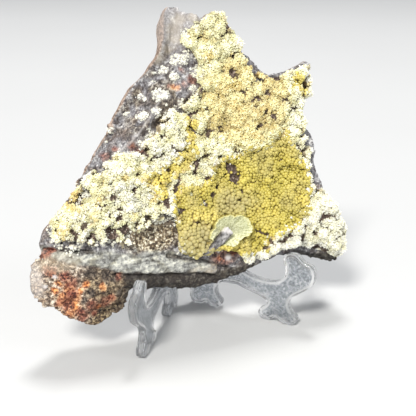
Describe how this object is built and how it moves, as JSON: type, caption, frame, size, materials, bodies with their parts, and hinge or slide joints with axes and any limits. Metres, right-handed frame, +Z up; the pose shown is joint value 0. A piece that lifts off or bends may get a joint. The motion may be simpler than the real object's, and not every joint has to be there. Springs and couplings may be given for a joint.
{
  "type": "mimetite mineral specimen on a folding easel",
  "caption": "Slab of iron-stained rock crusted with yellow botryoidal mimetite, leaning on a clear plastic folding display easel.",
  "frame": {"origin": "middle of the whole piece's footprint, at table level", "axes": "+Z up, the specimen's face towards -Y, +X to the right seen from the front"},
  "size_m": [0.1149, 0.045, 0.1105],
  "materials": {
    "rock": "rough broken rock, grey and brown, iron-stained",
    "mimetite": "waxy to resinous crust of fine beads, cream to olive yellow",
    "clear_plastic": "clear moulded plastic"
  },
  "bodies": {
    "right_side": {"easel_right_side": "clear_plastic", "matrix": "rock", "mimetite_crust": "mimetite"},
    "left_side": {"easel_left_side": "clear_plastic"}
  },
  "joints": [
    {"name": "easel_fold", "type": "hinge", "parent": "right_side", "child": "left_side", "pos_m": [0.0034, 0.01635, 0], "axis": [0, 0, 1], "range_deg": [0, 10]}
  ]
}
